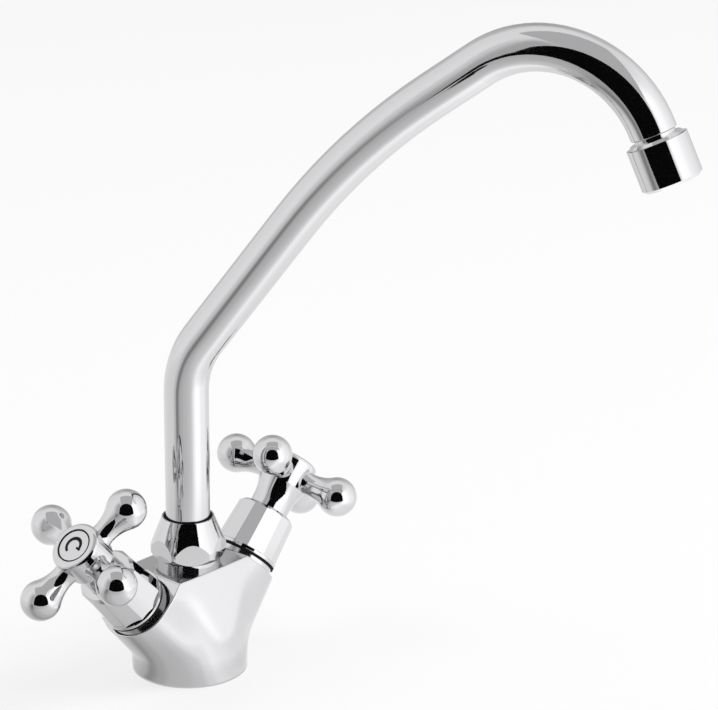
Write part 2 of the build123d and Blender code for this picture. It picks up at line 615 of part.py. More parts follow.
def handle_arm():
    """One arm of the cross, lying on X: a narrow neck that swells into a ball."""
    run = BALL_REACH - ARM_NECK_REACH
    swell = BALL_RADIUS - ARM_NECK_RADIUS
    flank_radius = (run**2 + ARM_NECK_RADIUS**2 - BALL_RADIUS**2) / (2 * swell)
    share = BALL_RADIUS / (BALL_RADIUS + flank_radius)
    ball_join_reach = BALL_REACH - run * share
    ball_join_radius = (flank_radius + ARM_NECK_RADIUS) * share
    root_reach = ARM_NECK_REACH / 2
    root_radius = ARM_NECK_RADIUS + ARM_ROOT_BLEND - (ARM_ROOT_BLEND**2 - root_reach**2) ** 0.5
    root = (root_reach, root_radius)
    neck = (ARM_NECK_REACH, ARM_NECK_RADIUS)
    ball_join = (ball_join_reach, ball_join_radius)
    tip = (BALL_REACH + BALL_RADIUS, 0)
    outline = [
        Line((0, 0), (0, root_radius)),
        Line((0, root_radius), root),
        TangentArc(neck, root, tangent=(-1, 0)),
        TangentArc(neck, ball_join, tangent=(1, 0)),
        ThreePointArc(ball_join, (BALL_REACH, BALL_RADIUS), tip),
        Line(tip, (0, 0)),
    ]
    return revolve(make_face(Wire([edge.edge() for edge in outline])), Axis.X)


def handle_hub():
    """The turned middle of the handle: a skirt that flares out to a round boss."""
    skirt_top = HANDLE_FOOT + SKIRT_STRAIGHT
    edge_foot = HUB_TOP - HUB_EDGE_ROUND
    edge_top_radius = HUB_RADIUS - HUB_EDGE_ROUND
    return turned(
        Line((0, 0, HANDLE_FOOT), (SKIRT_RADIUS, 0, HANDLE_FOOT)),
        Line((SKIRT_RADIUS, 0, HANDLE_FOOT), (SKIRT_RADIUS, 0, skirt_top)),
        TangentArc((SKIRT_RADIUS, 0, skirt_top), (HUB_RADIUS, 0, HUB_SHOULDER), tangent=(0, 0, 1)),
        Line((HUB_RADIUS, 0, HUB_SHOULDER), (HUB_RADIUS, 0, edge_foot)),
        TangentArc((HUB_RADIUS, 0, edge_foot), (edge_top_radius, 0, HUB_TOP), tangent=(0, 0, 1)),
        Line((edge_top_radius, 0, HUB_TOP), (0, 0, HUB_TOP)),
        Line((0, 0, HUB_TOP), (0, 0, HANDLE_FOOT)),
    )


def handle(side, turn):
    """The cross handle, bored from below for the spindle and from above for its screw."""
    cross = handle_hub()
    arm = handle_arm()
    for number in range(ARM_COUNT):
        cross += Rot(0, 0, number * 360 / ARM_COUNT) * Pos(0, 0, ARM_PLANE) * arm
    cross -= disc(SKIRT_RADIUS - SKIRT_WALL, HANDLE_FOOT, HANDLE_FOOT + SKIRT_BORE_DEPTH)
    cross -= disc(SPLINE_RADIUS + PRESS_PLAY, HANDLE_FOOT, SPINDLE_TOP)
    cross -= disc(SCREW_RADIUS + AXIAL_PLAY, SPINDLE_TOP, WEB_TOP)
    cross -= disc(BUTTON_STEM_RADIUS + PRESS_PLAY, WEB_TOP, HUB_TOP)
    cross -= disc(BUTTON_RADIUS + RUNNING_PLAY, BUTTON_FOOT, HUB_TOP)
    return port_location(side) * Rot(0, 0, turn) * cross


def handle_screw(side):
    """The socket screw that holds the handle on its spindle."""
    screw = disc(SCREW_RADIUS, WEB_TOP - SCREW_LENGTH, WEB_TOP)
    head_top = WEB_TOP + SCREW_HEAD_HEIGHT
    screw += disc(SCREW_HEAD_RADIUS, WEB_TOP, head_top)
    socket_foot = WEB_TOP + SCREW_HEAD_HEIGHT / 2
    socket = Pos(0, 0, socket_foot) * RegularPolygon(SCREW_SOCKET_RADIUS, 6)
    screw -= extrude(socket, SCREW_HEAD_HEIGHT)
    return port_location(side) * screw


def index_button(side):
    """The slightly domed button that covers the screw and carries the index letter."""
    rim_top = BUTTON_FOOT + BUTTON_RIM
    dome_top = (0, 0, rim_top + BUTTON_DOME)
    button = turned(
        Line((0, 0, BUTTON_FOOT), (BUTTON_RADIUS, 0, BUTTON_FOOT)),
        Line((BUTTON_RADIUS, 0, BUTTON_FOOT), (BUTTON_RADIUS, 0, rim_top)),
        TangentArc(dome_top, (BUTTON_RADIUS, 0, rim_top), tangent=(1, 0, 0)),
        Line(dome_top, (0, 0, BUTTON_FOOT)),
    )
    button += disc(BUTTON_STEM_RADIUS, BUTTON_FOOT - BUTTON_STEM_LENGTH, BUTTON_FOOT)
    return port_location(side) * button


def single_pieces():
    """The pieces that the tap has one of, by name."""
    return {
        "body_casting": body_casting(),
        "base_seal": base_seal(),
        "spout_nut": spout_nut(),
        "spout_wiper_ring": spout_wiper_ring(),
        "spout_slide_ring": spout_slide_ring(),
        "spout_thrust_washer": spout_thrust_washer(),
        "spout_foot": spout_foot(),
        "spout_seals": spout_seals(),
        "spout_tube": spout_tube(),
        "spout_ferrule": spout_ferrule(),
        "aerator_housing": aerator_housing(),
        "aerator_seal": aerator_seal(),
        "aerator_insert": aerator_insert(),
    }


def valve_pieces(name, side, bonnet_turn, handle_turn):
    """The pieces of one valve and its handle, by name."""
    return {
        name + "_valve_gasket": valve_gasket(side),
        name + "_valve_housing": valve_housing(side),
        name + "_fixed_disc": fixed_disc(side),
        name + "_seat_seal": seat_seal(side),
        name + "_bonnet_ring": bonnet_ring(side),
        name + "_bonnet": bonnet(side, bonnet_turn),
        name + "_spindle": spindle(side),
        name + "_spindle_seals": spindle_seals(side),
        name + "_spindle_clip": spindle_clip(side),
        name + "_moving_disc": moving_disc(side),
        name + "_handle": handle(side, handle_turn),
        name + "_handle_screw": handle_screw(side),
        name + "_index_button": index_button(side),
    }


def main():
    os.makedirs("parts", exist_ok=True)
    pieces = single_pieces()
    pieces.update(valve_pieces("left", -1, BONNET_LEFT_TURN, LEFT_HANDLE_TURN))
    pieces.update(valve_pieces("right", 1, BONNET_RIGHT_TURN, RIGHT_HANDLE_TURN))
    for name, shape in pieces.items():
        export_step(shape, "parts/" + name + ".step")
        print(name, round(shape.volume, 1))


main()
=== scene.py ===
# %% [markdown]
# # A swan-neck basin tap in polished chrome
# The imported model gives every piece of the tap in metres, standing on z = 0, with the
# valves along X and the basin on the -Y side. This lesson adds the camera, a small photo
# studio and the finishes, and makes again, in softer or crisper form, the pieces whose shape
# the solids only outline: the cast body, the spout nut and the two bonnets. Last come the
# marks on the buttons.

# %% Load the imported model
import bpy, bmesh, json, math
from mathutils import Matrix, Vector

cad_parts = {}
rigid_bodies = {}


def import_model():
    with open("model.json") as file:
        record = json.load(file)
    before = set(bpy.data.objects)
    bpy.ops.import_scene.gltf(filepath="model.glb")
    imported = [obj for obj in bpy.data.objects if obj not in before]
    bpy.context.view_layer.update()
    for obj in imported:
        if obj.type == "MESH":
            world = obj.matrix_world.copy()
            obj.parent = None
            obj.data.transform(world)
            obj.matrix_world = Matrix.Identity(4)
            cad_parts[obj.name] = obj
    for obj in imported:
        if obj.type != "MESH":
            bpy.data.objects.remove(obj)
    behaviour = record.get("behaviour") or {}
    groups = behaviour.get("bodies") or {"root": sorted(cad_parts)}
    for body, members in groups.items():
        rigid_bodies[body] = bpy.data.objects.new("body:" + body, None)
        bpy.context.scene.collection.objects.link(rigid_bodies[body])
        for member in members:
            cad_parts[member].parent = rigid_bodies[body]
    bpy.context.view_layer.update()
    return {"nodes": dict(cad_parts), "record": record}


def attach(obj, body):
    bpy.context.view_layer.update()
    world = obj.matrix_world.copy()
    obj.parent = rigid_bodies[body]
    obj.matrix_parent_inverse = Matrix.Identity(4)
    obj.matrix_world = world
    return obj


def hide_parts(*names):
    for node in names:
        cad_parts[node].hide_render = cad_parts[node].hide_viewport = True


for spare in list(bpy.data.objects):
    bpy.data.objects.remove(spare)
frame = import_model()
nodes = frame["nodes"]

# %% [markdown]
# ## The camera
# The photograph was taken from the front left, a little above the tap, with a long lens. The
# angles below are those at which the round base, the two ports and the bent tube fall on their
# places in the picture. A long lens keeps upright things upright.

# %% Camera at the photograph's viewing angle
CAMERA_AZIMUTH = math.radians(-48.14)
CAMERA_ELEVATION = math.radians(19.44)
CAMERA_ROLL = math.radians(0.18)
CAMERA_DISTANCE = 1.4302
TARGET_ASIDE = 0.0686
TARGET_HEIGHT = 0.1342
SENSOR_WIDTH = 36.0
PHOTO_WIDTH = 718
FOCAL_PIXELS = 3611.9
NEAREST_SEEN, FARTHEST_SEEN = 0.05, 50

camera_back = Vector((
    math.sin(CAMERA_AZIMUTH) * math.cos(CAMERA_ELEVATION),
    -math.cos(CAMERA_AZIMUTH) * math.cos(CAMERA_ELEVATION),
    math.sin(CAMERA_ELEVATION),
))
camera_right = Vector((math.cos(CAMERA_AZIMUTH), math.sin(CAMERA_AZIMUTH), 0))
target = camera_right * TARGET_ASIDE + Vector((0, 0, TARGET_HEIGHT))

lens = bpy.data.cameras.new("camera")
lens.sensor_width = SENSOR_WIDTH
lens.lens = FOCAL_PIXELS * SENSOR_WIDTH / PHOTO_WIDTH
lens.clip_start, lens.clip_end = NEAREST_SEEN, FARTHEST_SEEN
camera = bpy.data.objects.new("camera", lens)
camera_turn = (-camera_back).to_track_quat("-Z", "Y").to_matrix().to_4x4()
camera.matrix_world = Matrix.Translation(target + camera_back * CAMERA_DISTANCE) \
    @ camera_turn @ Matrix.Rotation(CAMERA_ROLL, 4, "Z")
bpy.context.scene.collection.objects.link(camera)
bpy.context.scene.camera = camera
print("lens", round(lens.lens, 1), "mm")

# %% [markdown]
# ## Small helpers for the stage and for new pieces
# A bmesh is filled by operators and then turned into an object.

# %% Helpers that turn a bmesh into an object
def finish_mesh(name, mesh_maker, material, smooth=True):
    """A new object from a bmesh, with its normals pointing outwards."""
    bmesh.ops.recalc_face_normals(mesh_maker, faces=mesh_maker.faces)
    mesh = bpy.data.meshes.new(name)
    mesh_maker.to_mesh(mesh)
    mesh_maker.free()
    for face in mesh.polygons:
        face.use_smooth = smooth
    mesh.materials.append(material)
    piece = bpy.data.objects.new(name, mesh)
    bpy.context.scene.collection.objects.link(piece)
    return piece


def new_material(name):
    """An empty node material: returns it with its node tree's nodes and links."""
    material = bpy.data.materials.new(name)
    material.use_nodes = True
    tree = material.node_tree
    tree.nodes.clear()
    return material, tree.nodes, tree.links


def direction(azimuth, elevation):
    """A unit vector towards a compass direction round the tap, 0 being the basin side."""
    around, above = math.radians(azimuth), math.radians(elevation)
    flat = math.cos(above)
    return Vector((math.sin(around) * flat, -math.cos(around) * flat, math.sin(above)))

# %% [markdown]
# ## The floor and the background
# The tap stands on a pale matt floor that runs out of the picture. Where the camera or a
# reflection looks at it, some plain white is mixed in, so that it reads as the white ground of a
# product photograph while the soft shadow of the tap stays on it.

# %% Pale floor
FLOOR_RADIUS = 3.0
FLOOR_COLOUR = (0.88, 0.88, 0.885, 1)
WHITE = (1, 1, 1, 1)
WHITE_SHARE = 0.72
STAGE_POINTS = 96

def seen_directly(tree_nodes, tree_links):
    """1 for rays that show the background: camera, reflection and refraction rays."""
    path = tree_nodes.new("ShaderNodeLightPath")
    either = tree_nodes.new("ShaderNodeMath")
    either.operation = "MAXIMUM"
    tree_links.new(path.outputs["Is Camera Ray"], either.inputs[0])
    tree_links.new(path.outputs["Is Glossy Ray"], either.inputs[1])
    any_of = tree_nodes.new("ShaderNodeMath")
    any_of.operation = "MAXIMUM"
    tree_links.new(either.outputs[0], any_of.inputs[0])
    tree_links.new(path.outputs["Is Transmission Ray"], any_of.inputs[1])
    return any_of.outputs[0]


floor_paint, paint_nodes, paint_links = new_material("floor_paint")
paint_out = paint_nodes.new("ShaderNodeOutputMaterial")
matt = paint_nodes.new("ShaderNodeBsdfDiffuse")
matt.inputs["Color"].default_value = FLOOR_COLOUR
white = paint_nodes.new("ShaderNodeEmission")
white.inputs["Color"].default_value = WHITE
share = paint_nodes.new("ShaderNodeMath")
share.operation = "MULTIPLY"
share.inputs[1].default_value = WHITE_SHARE
paint_links.new(seen_directly(paint_nodes, paint_links), share.inputs[0])
blend = paint_nodes.new("ShaderNodeMixShader")
paint_links.new(share.outputs[0], blend.inputs["Fac"])
paint_links.new(matt.outputs[0], blend.inputs[1])
paint_links.new(white.outputs[0], blend.inputs[2])
paint_links.new(blend.outputs[0], paint_out.inputs["Surface"])

floor_maker = bmesh.new()
bmesh.ops.create_circle(floor_maker, cap_ends=True, radius=FLOOR_RADIUS, segments=STAGE_POINTS)
floor = finish_mesh("floor", floor_maker, floor_paint, smooth=False)
print("floor radius", FLOOR_RADIUS, "m")

# %% Room behind the floor
ROOM_LIGHT, ROOM_COLOUR = 0.55, (0.98, 0.98, 1.0, 1)

world = bpy.data.worlds.new("room")
bpy.context.scene.world = world
world.use_nodes = True
room_nodes, room_links = world.node_tree.nodes, world.node_tree.links
room_nodes.clear()
dim = room_nodes.new("ShaderNodeBackground")
dim.inputs["Color"].default_value = ROOM_COLOUR
dim.inputs["Strength"].default_value = ROOM_LIGHT
bright = room_nodes.new("ShaderNodeBackground")
bright.inputs["Color"].default_value = WHITE
choose = room_nodes.new("ShaderNodeMixShader")
room_links.new(seen_directly(room_nodes, room_links), choose.inputs["Fac"])
room_links.new(dim.outputs[0], choose.inputs[1])
room_links.new(bright.outputs[0], choose.inputs[2])
room_out = room_nodes.new("ShaderNodeOutputWorld")
room_links.new(choose.outputs[0], room_out.inputs["Surface"])
print("room light", ROOM_LIGHT)

# %% [markdown]
# ## What the chrome sees
# Chrome has almost no colour of its own and gives back a little over half of the light that falls
# on it, so a white floor looks grey in it and only something brighter than the floor looks white.
# A photographer therefore builds a room of cards round shiny metal. Here a dome and a floor mat
# change their tone smoothly with the compass direction: bright on the right, darker on the left.
# Only reflections see them: they cast no shadow, light nothing matt and don't show.

# %% Tones that change with the compass direction
BRIGHTEST = 2.0
FULL_TURN = 360

def tone_by_azimuth(tree_nodes, tree_links, place, stops):
    """A tone read from (azimuth, tone) stops by the direction of a point round the tap."""
    back = tree_nodes.new("ShaderNodeMath")
    back.operation = "MULTIPLY"
    back.inputs[1].default_value = -1.0
    tree_links.new(place.outputs["Y"], back.inputs[0])
    angle = tree_nodes.new("ShaderNodeMath")
    angle.operation = "ARCTAN2"
    tree_links.new(place.outputs["X"], angle.inputs[0])
    tree_links.new(back.outputs[0], angle.inputs[1])
    turn = tree_nodes.new("ShaderNodeMapRange")
    turn.inputs["From Min"].default_value = -math.pi
    turn.inputs["From Max"].default_value = math.pi
    tree_links.new(angle.outputs[0], turn.inputs["Value"])
    ramp = tree_nodes.new("ShaderNodeValToRGB")
    ramp.color_ramp.interpolation = "EASE"
    marks = ramp.color_ramp.elements
    while len(marks) < len(stops):
        marks.new(0.5)
    for mark, (azimuth, tone) in zip(marks, stops):
        mark.position = azimuth / FULL_TURN + 0.5
        mark.color = (tone / BRIGHTEST,) * 3 + (1,)
    tree_links.new(turn.outputs["Result"], ramp.inputs["Fac"])
    full = tree_nodes.new("ShaderNodeMath")
    full.operation = "MULTIPLY"
    full.inputs[1].default_value = BRIGHTEST
    tree_links.new(ramp.outputs["Color"], full.inputs[0])
    return full.outputs[0]


def glowing(name):
    """Card paint that gives off a tone: returns it, its nodes and links, and its strength socket."""
    paint, tree_nodes, tree_links = new_material(name)
    out = tree_nodes.new("ShaderNodeOutputMaterial")
    glow = tree_nodes.new("ShaderNodeEmission")
    glow.inputs["Color"].default_value = WHITE
    tree_links.new(glow.outputs[0], out.inputs["Surface"])
    return paint, tree_nodes, tree_links, glow.inputs["Strength"]


def place_of(tree_nodes, tree_links):
    """A node that splits the object coordinates into X, Y and Z."""
    where = tree_nodes.new("ShaderNodeTexCoord")
    split = tree_nodes.new("ShaderNodeSeparateXYZ")
    tree_links.new(where.outputs["Object"], split.inputs[0])
    return split


def hang(piece):
    """Lets only reflections see a card."""
    piece.visible_camera = False
    piece.visible_diffuse = False
    piece.visible_transmission = False
    piece.visible_shadow = False


print("brightest tone", BRIGHTEST)

# %% Dome
DOME_RADIUS = 2.9
DOME_COLUMNS, DOME_ROWS = 72, 36
HORIZON_TONES = [
    (-180, 1.10), (-125, 1.20), (-112, 0.95), (-97, 0.60), (-80, 0.70), (-20, 0.95), (-5, 1.8),
    (18, 1.7), (36, 1.5), (60, 1.35), (85, 1.1), (105, 0.75), (132, 0.55), (158, 0.75),
    (180, 1.10),
]
HIGH_TONE = 1.15
HIGH_FROM, HIGH_TO = 35, 62

def eased_mix(tree_nodes, tree_links, value, span, tones):
    """Mixes two tones, each a number or a socket, as a value passes through a span."""
    ease = tree_nodes.new("ShaderNodeMapRange")
    ease.interpolation_type = "SMOOTHSTEP"
    ease.inputs["From Min"].default_value = span[0]
    ease.inputs["From Max"].default_value = span[1]
    tree_links.new(value, ease.inputs["Value"])
    mix = tree_nodes.new("ShaderNodeMix")
    tree_links.new(ease.outputs["Result"], mix.inputs["Factor"])
    for socket, tone in zip(("A", "B"), tones):
        if isinstance(tone, float):
            mix.inputs[socket].default_value = tone
        else:
            tree_links.new(tone, mix.inputs[socket])
    return mix.outputs["Result"]


dome_paint, dome_nodes, dome_links, dome_strength = glowing("dome_paint")
dome_place = place_of(dome_nodes, dome_links)
low_tone = tone_by_azimuth(dome_nodes, dome_links, dome_place, HORIZON_TONES)
high_span = [DOME_RADIUS * math.sin(math.radians(angle)) for angle in (HIGH_FROM, HIGH_TO)]
dome_tone = eased_mix(dome_nodes, dome_links, dome_place.outputs["Z"], high_span,
                      (low_tone, HIGH_TONE))
dome_links.new(dome_tone, dome_strength)

dome_maker = bmesh.new()
bmesh.ops.create_uvsphere(dome_maker, u_segments=DOME_COLUMNS, v_segments=DOME_ROWS,
                          radius=DOME_RADIUS)
bmesh.ops.bisect_plane(dome_maker, geom=[*dome_maker.verts, *dome_maker.edges, *dome_maker.faces],
                       plane_co=(0, 0, 0), plane_no=(0, 0, 1), clear_inner=True)
hang(finish_mesh("dome", dome_maker, dome_paint))
print("tones at the horizon:", len(HORIZON_TONES))

# %% [markdown]
# The mat lies a hair above the floor, round the base, and is what the lower half of the tap
# mirrors. The body sees it close by and the tube farther out, so it has one row of tones near the
# base, another beyond, and a little shade right at the foot.

# %% Floor mat
MAT_INNER, MAT_HEIGHT = 0.024, 0.0003
NEAR_TONES = [
    (-180, 1.10), (-120, 1.05), (-105, 0.80), (-97, 0.38), (-91, 0.30), (-86, 0.50), (-78, 0.68),
    (-50, 0.80), (-30, 0.90), (-20, 1.07), (-8, 1.5), (5, 1.8), (18, 1.75), (36, 1.5), (56, 1.45),
    (75, 1.15), (132, 0.85), (180, 1.10),
]
CLOSE_TONES = [
    (-180, 1.00), (-120, 0.88), (-107, 0.78), (-96, 0.52), (-80, 0.72), (-66, 0.88), (-51, 0.92),
    (-32, 1.05), (-20, 1.30), (-8, 1.48), (12, 1.35), (40, 1.22), (90, 1.10), (180, 1.00),
]
CLOSE_END, NEAR_START = 0.12, 0.24
NEAR_END, FAR_START = 0.45, 1.4
FOOT_SHADE, FOOT_SHADE_SPAN = 0.84, (0.030, 0.054)

mat_paint, mat_nodes, mat_links, mat_strength = glowing("mat_paint")
mat_place = place_of(mat_nodes, mat_links)
close_tone = tone_by_azimuth(mat_nodes, mat_links, mat_place, CLOSE_TONES)
near_tone = tone_by_azimuth(mat_nodes, mat_links, mat_place, NEAR_TONES)
far_tone = tone_by_azimuth(mat_nodes, mat_links, mat_place, HORIZON_TONES)
mat_where = mat_nodes.new("ShaderNodeTexCoord")
reach_node = mat_nodes.new("ShaderNodeVectorMath")
reach_node.operation = "LENGTH"
mat_links.new(mat_where.outputs["Object"], reach_node.inputs[0])
reach = reach_node.outputs["Value"]
inner_tone = eased_mix(mat_nodes, mat_links, reach, (CLOSE_END, NEAR_START), (close_tone, near_tone))
mat_tone = eased_mix(mat_nodes, mat_links, reach, (NEAR_END, FAR_START), (inner_tone, far_tone))
foot_shade = eased_mix(mat_nodes, mat_links, reach, FOOT_SHADE_SPAN, (FOOT_SHADE, 1.0))
shaded = mat_nodes.new("ShaderNodeMath")
shaded.operation = "MULTIPLY"
mat_links.new(mat_tone, shaded.inputs[0])
mat_links.new(foot_shade, shaded.inputs[1])
mat_links.new(shaded.outputs[0], mat_strength)

mat_maker = bmesh.new()
rim = [mat_maker.verts.new((radius, 0, MAT_HEIGHT)) for radius in (MAT_INNER, DOME_RADIUS)]
bmesh.ops.spin(mat_maker, geom=[mat_maker.edges.new(rim), *rim], cent=(0, 0, 0), axis=(0, 0, 1),
               angle=2 * math.pi, steps=STAGE_POINTS, use_merge=True)
hang(finish_mesh("floor_mat", mat_maker, mat_paint, smooth=False))
print("tones near the tap:", len(CLOSE_TONES) + len(NEAR_TONES))

# %% [markdown]
# ## The cards
# A black card stands in front, where the camera is, and a black mat lies under it. They give the
# balls, the nut and the tube their dark cores. A grey card hangs high above the camera and shades
# the upper sides. Round corners keep their mirror images soft in outline.

# %% Black card, black mat and grey card
BLACK, GREY = 0.003, 0.68
CORNER_STEPS = 10
BLACK_AZIMUTH = -46
CARD_WIDTH, CARD_HEIGHT, CARD_CORNER = 0.76, 1.00, 0.36
CARD_DISTANCE, CARD_MIDDLE_HEIGHT = 0.50, 0.20
BLACK_MAT_SIZE, BLACK_MAT_CORNER, BLACK_MAT_DISTANCE = 0.70, 0.34, 0.70
GREY_WIDTH, GREY_HEIGHT, GREY_CORNER = 1.7, 1.9, 0.10
GREY_AZIMUTH, GREY_ELEVATION, GREY_DISTANCE = -43, 71, 1.6

def plain_paint(name, tone):
    """Card paint of one tone."""
    paint, _, _, strength = glowing(name)
    strength.default_value = tone
    return paint


def rounded_card(name, tone, width, height, corner, place):
    """A flat card with rounded corners, made level round the origin and then laid in place."""
    maker = bmesh.new()
    bmesh.ops.create_grid(maker, x_segments=1, y_segments=1, size=0.5)
    bmesh.ops.scale(maker, verts=maker.verts, vec=(width, height, 1))
    bmesh.ops.bevel(maker, geom=maker.verts[:], offset=corner, segments=CORNER_STEPS, profile=0.5,
                    affect="VERTICES", material=-1, clamp_overlap=True)
    bmesh.ops.transform(maker, verts=maker.verts, matrix=place)
    hang(finish_mesh(name, maker, plain_paint(name + "_paint", tone), smooth=False))


def facing(azimuth, elevation, distance):
    """The place of a card or lamp that lies in a direction from the tap and is turned to it."""
    away = direction(azimuth, elevation)
    return Matrix.Translation(away * distance) @ away.to_track_quat("Z", "Y").to_matrix().to_4x4()


card_place = Matrix.Translation((0, 0, CARD_MIDDLE_HEIGHT)) @ facing(BLACK_AZIMUTH, 0, CARD_DISTANCE)
rounded_card("black_card", BLACK, CARD_WIDTH, CARD_HEIGHT, CARD_CORNER, card_place)
mat_middle = direction(BLACK_AZIMUTH, 0) * BLACK_MAT_DISTANCE + Vector((0, 0, 2 * MAT_HEIGHT))
rounded_card("black_mat", BLACK, BLACK_MAT_SIZE, BLACK_MAT_SIZE, BLACK_MAT_CORNER,
             Matrix.Translation(mat_middle))
rounded_card("grey_card", GREY, GREY_WIDTH, GREY_HEIGHT, GREY_CORNER,
             facing(GREY_AZIMUTH, GREY_ELEVATION, GREY_DISTANCE))
print("cards made")

# %% [markdown]
# ## The lamps
# Two large soft lamps, which reflections don't see, light the floor and draw the soft shadow: the
# key lamp from the front right and a weaker one from behind on the left.

# %% Soft lamps
LAMP_DISTANCE, LAMP_SIZE = 2.2, 1.2

def lamp(name, azimuth, elevation, power):
    """A square soft lamp that shines on the tap from a direction."""
    light = bpy.data.lights.new(name, "AREA")
    light.shape = "SQUARE"
    light.size = LAMP_SIZE
    light.energy = power
    holder = bpy.data.objects.new(name, light)
    holder.matrix_world = facing(azimuth, elevation, LAMP_DISTANCE)
    holder.visible_glossy = False
    bpy.context.scene.collection.objects.link(holder)


lamp("key_lamp", azimuth=35, elevation=52, power=26)
lamp("fill_lamp", azimuth=-140, elevation=50, power=10)

# %% [markdown]
# ## Finishes
# Each finish is a small node tree on object coordinates, which are metres here, so a noise scale
# of 1000 gives grains of a millimetre. Milled and turned pieces have a mirror polish. The casting
# is polished by hand after a rougher start, so its chrome is a little softer.

# %% Polished chrome
def surface(name, colour, metallic, roughness):
    """A principled surface: returns the material, its nodes, its links and its shader."""
    material, tree_nodes, tree_links = new_material(name)
    out = tree_nodes.new("ShaderNodeOutputMaterial")
    shader = tree_nodes.new("ShaderNodeBsdfPrincipled")
    shader.inputs["Base Color"].default_value = colour
    shader.inputs["Metallic"].default_value = metallic
    shader.inputs["Roughness"].default_value = roughness
    tree_links.new(shader.outputs[0], out.inputs["Surface"])
    return material, tree_nodes, tree_links, shader


def noise(tree_nodes, tree_links, scale, stretch=(1, 1, 1), detail=3.0):
    """A noise on object coordinates, stretched along the axes."""
    place = tree_nodes.new("ShaderNodeTexCoord")
    mapping = tree_nodes.new("ShaderNodeMapping")
    mapping.inputs["Scale"].default_value = stretch
    tree_links.new(place.outputs["Object"], mapping.inputs["Vector"])
    grain = tree_nodes.new("ShaderNodeTexNoise")
    grain.inputs["Scale"].default_value = scale
    grain.inputs["Detail"].default_value = detail
    tree_links.new(mapping.outputs[0], grain.inputs["Vector"])
    return grain.outputs["Fac"]


def spread(tree_nodes, tree_links, value, low, high):
    """Maps a noise from 0..1 to low..high."""
    span = tree_nodes.new("ShaderNodeMapRange")
    span.inputs["To Min"].default_value = low
    span.inputs["To Max"].default_value = high
    tree_links.new(value, span.inputs["Value"])
    return span.outputs["Result"]


def relief(tree_nodes, tree_links, shader, height, strength, distance):
    """A bump from a height value, given to the shader's normal."""
    bump = tree_nodes.new("ShaderNodeBump")
    bump.inputs["Strength"].default_value = strength
    bump.inputs["Distance"].default_value = distance
    tree_links.new(height, bump.inputs["Height"])
    tree_links.new(bump.outputs[0], shader.inputs["Normal"])


CHROME_COLOUR = (0.57, 0.57, 0.58, 1)
HAZE_SCALE, RIPPLE_SCALE, RIPPLE_DEPTH = 900.0, 160.0, 0.001

def chromed(name, roughness_span, ripple):
    """Chrome plate: faint haze where the polish varies, and a ripple left by the polishing wheel."""
    material, tree_nodes, tree_links, shader = surface(name, CHROME_COLOUR, 1.0, roughness_span[0])
    haze = noise(tree_nodes, tree_links, HAZE_SCALE)
    tree_links.new(spread(tree_nodes, tree_links, haze, *roughness_span), shader.inputs["Roughness"])
    wave = noise(tree_nodes, tree_links, RIPPLE_SCALE, detail=1.0)
    relief(tree_nodes, tree_links, shader, wave, ripple, RIPPLE_DEPTH)
    return material


chrome = chromed("polished_chrome", (0.02, 0.07), 0.004)
soft_chrome = chromed("cast_chrome", (0.08, 0.15), 0.010)
print("chrome made")

# %% Rubber, brass, steel, plastic, ceramic and fibre
GRAIN_DARKER, GRAIN_SMOOTHER, GRAIN_ROUGHER = 0.8, 0.75, 1.25
GRAIN_DEPTH = 0.0001

def grained(name, colour, metallic, roughness, scale, strength, stretch=(1, 1, 1), gloss=0.5):
    """A surface with its own grain in colour, roughness and relief."""
    material, tree_nodes, tree_links, shader = surface(name, colour, metallic, roughness)
    shader.inputs["Specular IOR Level"].default_value = gloss
    grain = noise(tree_nodes, tree_links, scale, stretch)
    tint = tree_nodes.new("ShaderNodeMix")
    tint.data_type = "RGBA"
    tint.inputs["A"].default_value = tuple(GRAIN_DARKER * part for part in colour[:3]) + (1,)
    tint.inputs["B"].default_value = colour
    tree_links.new(grain, tint.inputs["Factor"])
    tree_links.new(tint.outputs["Result"], shader.inputs["Base Color"])
    tree_links.new(spread(tree_nodes, tree_links, grain, roughness * GRAIN_SMOOTHER,
                          roughness * GRAIN_ROUGHER), shader.inputs["Roughness"])
    relief(tree_nodes, tree_links, shader, grain, strength, GRAIN_DEPTH)
    return material


FINISHES = {
    "chrome": chrome,
    "rubber": grained("black_rubber", (0.006, 0.006, 0.006, 1), 0.0, 0.7, 2500, 0.25, gloss=0.1),
    "brass": grained("turned_brass", (0.72, 0.52, 0.25, 1), 1.0, 0.24, 1400, 0.15, (1, 1, 6)),
    "steel": grained("bright_steel", (0.60, 0.60, 0.61, 1), 1.0, 0.28, 1800, 0.15),
    "plastic": grained("white_plastic", (0.80, 0.80, 0.78, 1), 0.0, 0.42, 1500, 0.08),
    "ceramic": grained("white_ceramic", (0.86, 0.85, 0.82, 1), 0.0, 0.18, 1200, 0.03),
    "fibre": grained("red_fibre", (0.40, 0.08, 0.05, 1), 0.0, 0.75, 3000, 0.35),
}
for entry in frame["record"]["subparts"]:
    for slot in nodes[entry["node"]].material_slots:
        slot.material = FINISHES[entry["material_slot"]]
print("finishes:", sorted(FINISHES))

# %% [markdown]
# ## The cast body
# The body is one brass casting: a round base that spreads into two legs, each with a flat face for
# its valve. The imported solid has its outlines, but there the forms meet in creases, and the real
# casting is ground and polished into one soft skin. It could be drawn by hand as a cage for
# Subdivision Surface, but the legs, base and middle flow into each other in ways that are hard to
# plan. So the plain forms are laid over each other in rough, melted into one mesh by a voxel
# remesh, and smoothed until the creases flow. Then planes cut the crisp top, foot and port faces,
# and each cut gets a fine round. The body is drawn in millimetres and scaled at the end.

